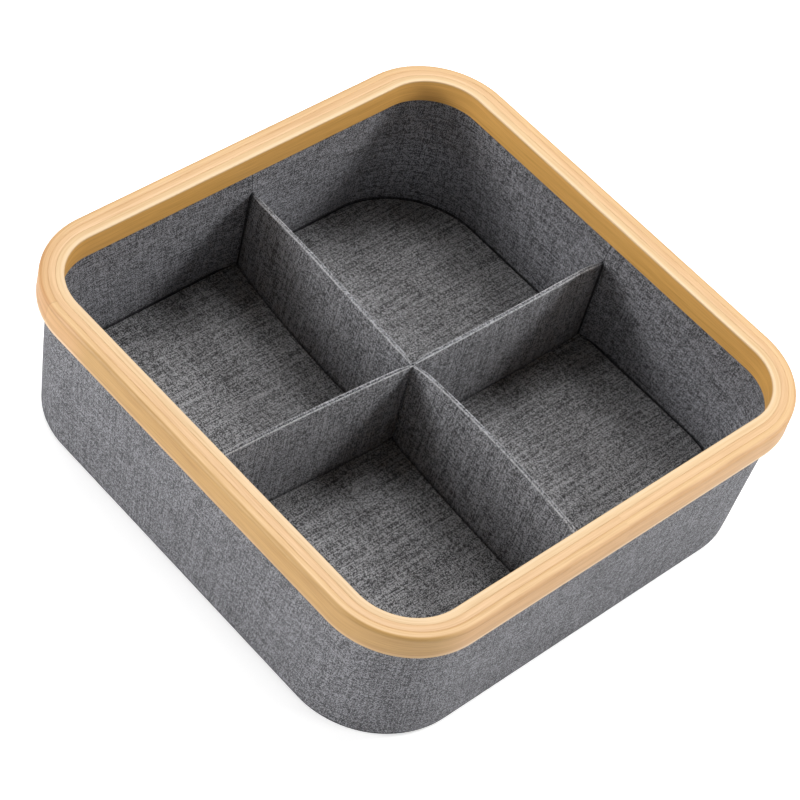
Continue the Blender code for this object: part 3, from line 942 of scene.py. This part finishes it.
def rippled(row, depth, seed):
    """Moves a panel's row of points in and out by a slow ripple that dies out at its seams."""
    moved = [row[0]]
    lengths = run_lengths(row)
    for j in range(1, len(row) - 1):
        calm = eased(lengths[j] / SEAM_CALM_RUN) * eased((lengths[-1] - lengths[j]) / SEAM_CALM_RUN)
        swell = 1.0 + ripple(row[j] + Vector((seed, 0, 0)), LINING_RIPPLE_SIZE)
        moved.append(row[j] - sideways_of(row, j) * depth * calm * swell)
    moved.append(row[-1])
    return moved


def lip_shades(z, turn):
    """The lining's painted shade at height z, from deep in a seam out to the wall."""
    return [shade * (1.0 - CLOSED_LIP_FADE * closed_at(z, turn)) for shade in LIP_SHADES]


lining_levels = [LINING_FOOT, FLOOR_TOP]
lining_levels += [FLOOR_TOP + PULL_RISE * i / FOOT_STEPS for i in range(1, FOOT_STEPS + 1)]
lining_start = lining_levels[-1]
lining_levels += [lining_start + (RIM_FOOT - lining_start) * i / WALL_STEPS for i in range(1, WALL_STEPS + 1)]
lining_levels += [DIVIDER_TOP - SEAM_MOUTH + SEAM_MOUTH * i / MOUTH_STEPS for i in range(MOUTH_STEPS + 1)]
lining_levels.append(LINING_TOP)
lining_levels = sorted(set(lining_levels))
lining_cloth = cloth_material("lining_cloth", LINING_DARK, LINING_LIGHT, *LINING_WEAVE)
for turn, corner_name in enumerate(("back_right", "back_left", "front_left", "front_right")):
    rows = []
    shades = []
    for level, z in enumerate(lining_levels):
        depth = LINING_RIPPLE * calm_between(z, FLOOR_TOP, RIM_FOOT)
        rows.append(rippled(lining_row(z, turn), depth, LINING_SEED * turn))
        # Painted shade along the floor line and in the seams
        floor_line = FLOOR_LINE_SHADES[level] if level < len(FLOOR_LINE_SHADES) else 0.0
        plain_run = [0.0] * (len(rows[0]) - 2 * len(LIP_SHADES))
        row_shades = [*lip_shades(z, turn), *plain_run, *reversed(lip_shades(z, turn + 1))]
        shades.append([max(floor_line, shade) for shade in row_shades])
    panel_name = "lining_panel_" + corner_name
    mesh = skin(panel_name, rows, guide=GUIDE_LEVEL)
    mark(mesh, PAINTED_SHADE, shades)
    mesh.transform(Matrix.Rotation(math.radians(90 * turn), 4, "Z"))
    panel = add_piece(panel_name, mesh, lining_cloth, "lining_cloth", "lining_" + corner_name)
    thicken(panel, 1)

# The floor cloth: the same darker cloth, wrapped over the floor sheet and down its sides, and
# pressed in between the linings.
FLOOR_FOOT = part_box("floor_cloth")[0].z
CLEARANCE = 0.0003
FLOOR_EDGE = 0.0009
FLOOR_GROOVE = 0.0009
FLOOR_RINGS = 40
FLOOR_SAG = 0.0002
FLOOR_CALM_RINGS = 4
FLOOR_RIPPLE_SIZE = 0.05
# Painted light: the floor's cloth is the lining's, given paler yarn to stand in for the light falling on the
# floor
FLOOR_DARK = (0.041, 0.041, 0.043, 1.0)
FLOOR_LIGHT = (0.448, 0.448, 0.462, 1.0)
FLOOR_WEAVE = (3.3, 1.05, 0.6)
# Painted shade down the floor cloth's rolled edge into the groove at the walls: the share of the roll over
# which it fades, and where it starts to
EDGE_SHADE_RUN = 0.5
EDGE_SHADE_START = 0.2

floor_half, floor_corner = lining_outline(FLOOR_FOOT)
floor_half -= FLOOR_GROOVE
floor_corner -= FLOOR_GROOVE
floor_rows = [rounded_square(floor_half, floor_corner, FLOOR_FOOT)]
# Painted shade, darkest at the groove's foot
edge_shades = [1.0]
for i, (outward, z) in enumerate(arc((-FLOOR_EDGE, FLOOR_TOP - FLOOR_EDGE), FLOOR_EDGE, 0, 90, FOLD_STEPS)):
    floor_rows.append(rounded_square(floor_half + outward, floor_corner + outward, z))
    edge_shades.append(1.0 - eased((i / FOLD_STEPS - EDGE_SHADE_START) / EDGE_SHADE_RUN))
for i in range(1, FLOOR_RINGS):
    ring = shrunk(floor_half - FLOOR_EDGE, floor_corner - FLOOR_EDGE, FLOOR_TOP, i / FLOOR_RINGS)
    depth = FLOOR_SAG / 2 * eased(i / FLOOR_CALM_RINGS)
    floor_rows.append([p + Vector((0, 0, depth * (ripple(p, FLOOR_RIPPLE_SIZE) - 1.0))) for p in ring])
floor_mesh = close_middle("floor_covering", floor_rows)
mark(floor_mesh, PAINTED_SHADE, [[shade] * len(floor_rows[0]) for shade in edge_shades])
floor_cloth = cloth_material("floor_cloth", FLOOR_DARK, FLOOR_LIGHT, *FLOOR_WEAVE)
floor_covering = add_piece("floor_covering", floor_mesh, floor_cloth, "lining_cloth", "floor_cloth")
thicken(floor_covering, -1)

# The dividers: each is a sleeve of the darker cloth folded up round a thin board. Its two top
# edges are turned in and lie side by side, and both ends are pinched flat and sewn.
DIVIDER_FOOT = FLOOR_TOP
SLEEVE_HALF = 0.0015
SLEEVE_TOP_HALF = 0.00115
SLEEVE_CLOTH = 0.0003
SLEEVE_TAPER = 0.012
FLANGE_HALF = 0.00062
FLANGE_RUN = 0.002
PINCH_RUN = 0.008
PINCH_STEPS = 8
CENTRE_END_DIP = 0.0008
CENTRE_REACH = 0.00064
DIP_CURVE = 1.3
FOOT_ROUND = 0.0009
# Painted shade just above a divider's foot: the heights over the foot, and how dark each is
FOOT_LEVELS = (0.0018, 0.0035)
FOOT_SHADES = (0.7, 0.0)
SIDE_LEVELS = 12
OPEN_STEPS = 56
ROLL_STEPS = 8
SLEEVE_RIPPLE = 0.00016
SLEEVE_RIPPLE_SIZE = 0.035
SLEEVE_CALM_TOP = 0.008
SIDE_SEED = 40.0
# Painted light: the dividers' cloth is the lining's, given paler yarn to stand in for the light falling on
# them
SLEEVE_DARK = (0.040, 0.041, 0.0445, 1.0)
SLEEVE_LIGHT = (0.425, 0.430, 0.458, 1.0)
SLEEVE_WEAVE = (3.8, 0.9, 0.7)
PINCHED_SLIT = 0.1
# A turned-in edge, from its outer side over its top and down into the slit: the share of that way
# where the slit's painted shade starts, its painted highlight at each step, and where along the
# sleeve that highlight starts
ROLL_SHADE_START = 0.65
ROLL_PAINTED_HIGHLIGHT = (0.0, 0.35, 1.0, 0.8, 0.25, 0.0, 0.0, 0.0, 0.0)
PAINTED_HIGHLIGHT_START_GAP = 0.0006
PAINTED_HIGHLIGHT_START_RUN = 0.006
# The run of painted shade on a divider's side just before the wall
END_SHADE_RUN = 0.0016
STIFFENER_HALF = 0.0006
STIFFENER_DROP = 0.0012
# Each divider: the bows of its top edge and foot, anticlockwise of a straight line, how evenly the
# top bow is spread, the slit between its folded edges, and the run of its top edge's dip at the wall
DIVIDERS = {
    "right": (0.0045, -0.0012, 0.55, 0.0003, 0.010),
    "back": (-0.0003, -0.0010, 1.0, 0.0003, 0.015),
    "left": (0.0009, 0.0030, 1.0, 0.00012, 0.060),
    "front": (-0.0011, 0.0005, 1.0, 0.0006, 0.010),
}

wall_flange = lining_outline(FLOOR_TOP)[0] - SEAM_PULL - CLEARANCE
sleeve_end = wall_outline(BOARD_DEPTH, DIVIDER_FOOT)[0]
centre_flange = SEAM_HALF_GAP + FLANGE_RUN


def fullness(along):
    """0 where a sleeve is pinched flat and 1 where the board fills it."""
    return eased(min(along - centre_flange, wall_flange - along) / PINCH_RUN)


def top_at(along, turn, dip_run):
    """The height of a sleeve's top edge, which dips at both sewn ends."""
    from_wall = min(max((wall_flange - along) / dip_run, 0.0), 1.0)
    centre_dip = CENTRE_END_DIP * (1.0 - eased((along - centre_flange) / PINCH_RUN))
    return DIVIDER_TOP - centre_dip - WALL_END_DIPS[turn] * (1.0 - from_wall) ** DIP_CURVE


def placed(along, sideways, z, turn, bows):
    """A divider's point, moved to the side by its bows and by its seam's place on the wall."""
    top_bow, foot_bow, spread = bows
    share = min(max((along - centre_flange) / (wall_flange - centre_flange), 0.0), 1.0)
    height_share = (z - DIVIDER_FOOT) / (DIVIDER_TOP - DIVIDER_FOOT)
    foot_part = foot_bow * math.sin(math.pi * share)
    top_part = top_bow * abs(math.sin(math.pi * share)) ** spread
    middle = foot_part + (top_part - foot_part) * height_share - SEAM_SHIFTS[turn] * share
    return Vector((along, sideways + middle, z))


def sleeve_outline(along, top, top_slit):
    """Half of the cloth's outer face across a sleeve, as (sideways, z, painted shade, painted
    highlight), from the middle of the foot up to where the top edge is turned in."""
    full = fullness(along)
    half = FLANGE_HALF + (SLEEVE_HALF - FLANGE_HALF) * full
    top_half = FLANGE_HALF + (SLEEVE_TOP_HALF - FLANGE_HALF) * full
    slit = top_slit / 2 * max(full, PINCHED_SLIT)
    turn_in = (top_half - slit) / 2
    foot = min(FOOT_ROUND, half)
    high = top - turn_in
    outline = [(0.0, DIVIDER_FOOT, 1.0, 0.0)]
    for sideways, z in arc((half - foot, DIVIDER_FOOT + foot), foot, -90, 0, ARRIS_STEPS):
        outline.append((sideways, z, 1.0, 0.0))
    for rise, shade in zip(FOOT_LEVELS, FOOT_SHADES):
        outline.append((half, DIVIDER_FOOT + rise, shade, 0.0))
    low = DIVIDER_FOOT + FOOT_LEVELS[-1]
    for i in range(1, SIDE_LEVELS):
        z = low + (high - low) * i / SIDE_LEVELS
        taper = eased(1.0 - (high - z) / SLEEVE_TAPER)
        outline.append((half + (top_half - half) * taper, z, 0.0, 0.0))
    # Painted highlight along the top edge, fading out before the wall
    painted_highlight_here = eased((wall_flange - PAINTED_HIGHLIGHT_START_GAP - along) / PAINTED_HIGHLIGHT_START_RUN)
    roll = arc((slit + turn_in, high), turn_in, 0, 180, ROLL_STEPS)
    for i, (sideways, z) in enumerate(roll):
        # Painted shade down into the slit between the turned-in edges
        shade = eased(2 * (i / ROLL_STEPS - ROLL_SHADE_START))
        outline.append((sideways, z, shade, ROLL_PAINTED_HIGHLIGHT[i] * painted_highlight_here))
    return outline


def whole_outline(along, turn, slit, dip_run):
    """The cloth's outer face across a sleeve, from one turned-in edge round the foot to the other."""
    half_line = sleeve_outline(along, top_at(along, turn, dip_run), slit)
    mirrored = [(-sideways, *rest) for sideways, *rest in reversed(half_line)]
    return mirrored + half_line[1:]


def swollen(along, sideways, z, turn):
    """How far to the side a sleeve's point lies when a slow ripple puffs both faces out."""
    calm = fullness(along) * calm_between(z, DIVIDER_FOOT, DIVIDER_TOP, SLEEVE_CALM_TOP)
    place = (along, sideways * SIDE_SEED, z + turn)
    swell = SLEEVE_RIPPLE * calm * (1.0 + ripple(place, SLEEVE_RIPPLE_SIZE))
    return sideways + swell if sideways > 0 else sideways - swell


def slab(name, sections):
    """A closed bar through sections of four points each."""
    bm = bmesh.new()
    grid = [[bm.verts.new(point) for point in section] for section in sections]
    for here, there in zip(grid, grid[1:]):
        for j in range(4):
            bm.faces.new((here[j - 1], here[j], there[j], there[j - 1]))
    bm.faces.new(grid[0])
    bm.faces.new(grid[-1])
    bmesh.ops.recalc_face_normals(bm, faces=bm.faces)
    return mesh_from(name, bm, smooth=False)


pinches = [centre_flange + PINCH_RUN * i / PINCH_STEPS for i in range(PINCH_STEPS + 1)]
open_length = wall_flange - PINCH_RUN - pinches[-1]
open_run = [pinches[-1] + open_length * i / OPEN_STEPS for i in range(1, OPEN_STEPS)]
wall_pinch = [wall_flange - PINCH_RUN * (1.0 - i / PINCH_STEPS) for i in range(PINCH_STEPS + 1)]
sleeve_places = [CENTRE_REACH, *pinches, *open_run, *wall_pinch, sleeve_end]
stiffener_places = [pinches[-1], *open_run, wall_pinch[0] - CLEARANCE]
middle_column = len(sleeve_places) // 2
sleeve_material = cloth_material("divider_cloth", SLEEVE_DARK, SLEEVE_LIGHT, *SLEEVE_WEAVE)
for turn, (side, facts) in enumerate(DIVIDERS.items()):
    *bows, slit, dip_run = facts
    quarter_turns = Matrix.Rotation(math.radians(90 * turn), 4, "Z")
    sections = []
    painted_shades = []
    painted_highlights = []
    for along in sleeve_places:
        across, heights, shades, highlight_shares = zip(*whole_outline(along, turn, slit, dip_run))
        section = []
        for sideways, z in zip(across, heights):
            section.append(placed(along, swollen(along, sideways, z, turn), z, turn, bows))
        sections.append(section)
        # Painted shade on the last stretch at the wall
        at_wall = eased((along - wall_flange) / END_SHADE_RUN + 1.0)
        painted_shades.append([max(shade, at_wall) for shade in shades])
        painted_highlights.append(highlight_shares)
    columns = [list(column) for column in zip(*sections)]
    foot_row = len(columns) // 2
    sleeve_name = "divider_cloth_" + side
    mesh = skin(sleeve_name, columns, guide=foot_row, guide_column=middle_column)
    mark(mesh, PAINTED_SHADE, zip(*painted_shades))
    mark(mesh, PAINTED_HIGHLIGHT, zip(*painted_highlights))
    mesh.transform(quarter_turns)
    sleeve = add_piece(sleeve_name, mesh, sleeve_material, "lining_cloth", "divider_sleeve_" + side)
    thicken(sleeve, -1, SLEEVE_CLOTH)

    board_sections = []
    board_foot = DIVIDER_FOOT + CLEARANCE + SLEEVE_CLOTH
    for along in stiffener_places:
        board_top = top_at(along, turn, dip_run) - STIFFENER_DROP
        corners = ((-1, board_foot), (1, board_foot), (1, board_top), (-1, board_top))
        board_sections.append([placed(along, way * STIFFENER_HALF, z, turn, bows) for way, z in corners])
    board_mesh = slab("stiffener_" + side, board_sections)
    board_mesh.transform(quarter_turns)
    add_piece("stiffener_" + side, board_mesh, pasteboard, "board", "divider_board_" + side)
